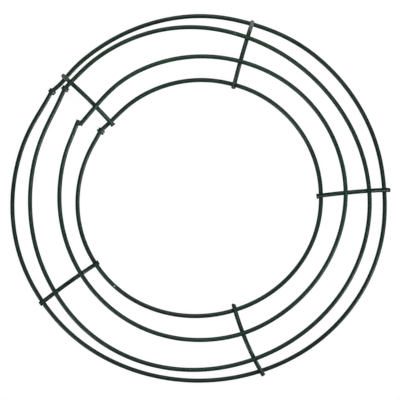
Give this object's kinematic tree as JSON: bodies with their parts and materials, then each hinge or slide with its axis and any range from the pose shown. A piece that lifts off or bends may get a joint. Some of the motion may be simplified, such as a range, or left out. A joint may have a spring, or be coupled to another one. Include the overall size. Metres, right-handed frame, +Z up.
{
  "type": "wreath frame",
  "caption": "Round welded wire frame for making a wreath: concentric ring wires on bowed cross wires, painted dark green.",
  "frame": {"origin": "middle of the frame's box in plan, on the plane the frame rests on", "axes": "+Z up through the rings, from the rest plane to the top of the bow; +X along the widest way across, towards the outer end of the cross wire right; +Y in the rings' plane"},
  "size_m": [0.3112, 0.3016, 0.019],
  "materials": {
    "ring_paint": "semi-gloss",
    "cross_wire_paint": "semi-gloss",
    "weld_paint": "satin"
  },
  "bodies": {
    "root": {"outer_ring": "ring_paint", "second_ring": "ring_paint", "third_ring": "ring_paint", "inner_ring": "ring_paint", "cross_wire_right": "cross_wire_paint", "cross_wire_top": "cross_wire_paint", "cross_wire_upper_left": "cross_wire_paint", "cross_wire_lower_left": "cross_wire_paint", "cross_wire_lower_right": "cross_wire_paint", "end_weld_outer": "weld_paint", "end_weld_second": "weld_paint", "end_weld_third": "weld_paint", "end_weld_inner": "weld_paint", "weld_outer_right": "weld_paint", "weld_second_right": "weld_paint", "weld_third_right": "weld_paint", "weld_inner_right": "weld_paint", "weld_outer_top": "weld_paint", "weld_second_top": "weld_paint", "weld_third_top": "weld_paint", "weld_inner_top": "weld_paint", "weld_outer_upper_left": "weld_paint", "weld_second_upper_left": "weld_paint", "weld_third_upper_left": "weld_paint", "weld_inner_upper_left": "weld_paint", "weld_outer_lower_left": "weld_paint", "weld_second_lower_left": "weld_paint", "weld_third_lower_left": "weld_paint", "weld_inner_lower_left": "weld_paint", "weld_outer_lower_right": "weld_paint", "weld_second_lower_right": "weld_paint", "weld_third_lower_right": "weld_paint", "weld_inner_lower_right": "weld_paint"}
  },
  "joints": []
}
